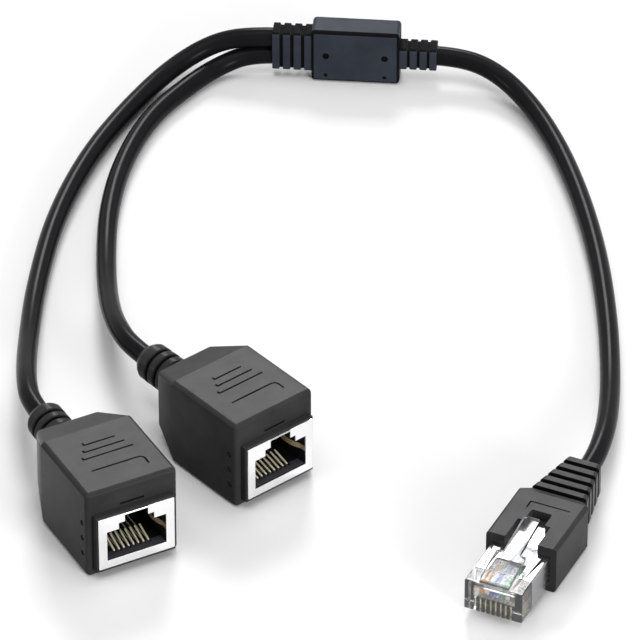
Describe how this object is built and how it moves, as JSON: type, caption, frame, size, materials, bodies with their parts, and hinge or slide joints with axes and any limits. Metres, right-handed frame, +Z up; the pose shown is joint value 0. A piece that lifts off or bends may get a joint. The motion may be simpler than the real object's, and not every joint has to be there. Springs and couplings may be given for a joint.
{
  "type": "network splitter cable",
  "caption": "Y-shaped network lead: a shielded modular plug on a round cable, a moulded junction, and branch cables that end in shielded female jacks.",
  "frame": {"origin": "middle of the junction's base, on the surface that the lead lies on", "axes": "+Z up from the surface, -Y straight out of the right jack's port, X across that port"},
  "size_m": [0.166, 0.1828, 0.019],
  "materials": {
    "junction_moulding": "satin, dark blue-grey",
    "housing_moulding": "satin black",
    "cable_jacket": "smooth semi-gloss black",
    "shield_metal": "bright nickel plate on sheet",
    "insert_plastic": "semi-gloss dark grey",
    "gold_contact": "gold flash",
    "clear_plastic": "clear moulded plastic",
    "clear_latch": "clear moulded plastic",
    "splice_sleeve": "plain",
    "junction_wire": "insulated wire, mixed colours",
    "wire_white_orange": "insulated wire",
    "wire_orange": "insulated wire",
    "wire_white_green": "insulated wire",
    "wire_blue": "insulated wire",
    "wire_white_blue": "insulated wire",
    "wire_green": "insulated wire",
    "wire_white_brown": "insulated wire",
    "wire_brown": "insulated wire"
  },
  "bodies": {
    "lead": {"junction_housing": "junction_moulding", "junction_splices": "splice_sleeve", "junction_wires": "junction_wire", "jack_right_housing": "housing_moulding", "jack_right_shield": "shield_metal", "jack_right_insert": "insert_plastic", "jack_right_contact_1": "gold_contact", "jack_right_contact_2": "gold_contact", "jack_right_contact_3": "gold_contact", "jack_right_contact_4": "gold_contact", "jack_right_contact_5": "gold_contact", "jack_right_contact_6": "gold_contact", "jack_right_contact_7": "gold_contact", "jack_right_contact_8": "gold_contact", "jack_right_wire_1": "wire_white_orange", "jack_right_wire_2": "wire_orange", "jack_right_wire_3": "wire_white_green", "jack_right_wire_6": "wire_green", "jack_left_housing": "housing_moulding", "jack_left_shield": "shield_metal", "jack_left_insert": "insert_plastic", "jack_left_contact_1": "gold_contact", "jack_left_contact_2": "gold_contact", "jack_left_contact_3": "gold_contact", "jack_left_contact_4": "gold_contact", "jack_left_contact_5": "gold_contact", "jack_left_contact_6": "gold_contact", "jack_left_contact_7": "gold_contact", "jack_left_contact_8": "gold_contact", "jack_left_wire_1": "wire_white_orange", "jack_left_wire_2": "wire_orange", "jack_left_wire_3": "wire_white_green", "jack_left_wire_6": "wire_green", "plug_body": "clear_plastic", "plug_shield": "shield_metal", "plug_boot": "housing_moulding", "plug_contact_1": "gold_contact", "plug_contact_2": "gold_contact", "plug_contact_3": "gold_contact", "plug_contact_4": "gold_contact", "plug_contact_5": "gold_contact", "plug_contact_6": "gold_contact", "plug_contact_7": "gold_contact", "plug_contact_8": "gold_contact", "plug_wire_1": "wire_white_orange", "plug_wire_2": "wire_orange", "plug_wire_3": "wire_white_green", "plug_wire_4": "wire_blue", "plug_wire_5": "wire_white_blue", "plug_wire_6": "wire_green", "plug_wire_7": "wire_white_brown", "plug_wire_8": "wire_brown", "trunk_cable": "cable_jacket", "left_branch_cable": "cable_jacket", "right_branch_cable": "cable_jacket"},
    "latch": {"plug_latch": "clear_latch"}
  },
  "joints": [
    {"name": "latch_press", "type": "hinge", "parent": "lead", "child": "latch", "pos_m": [-0.09581, -0.1532, 0.00865], "axis": [0.4226, -0.9063, 0], "range_deg": [-9, 0], "stiffness_Nm_per_rad": 0.05}
  ]
}
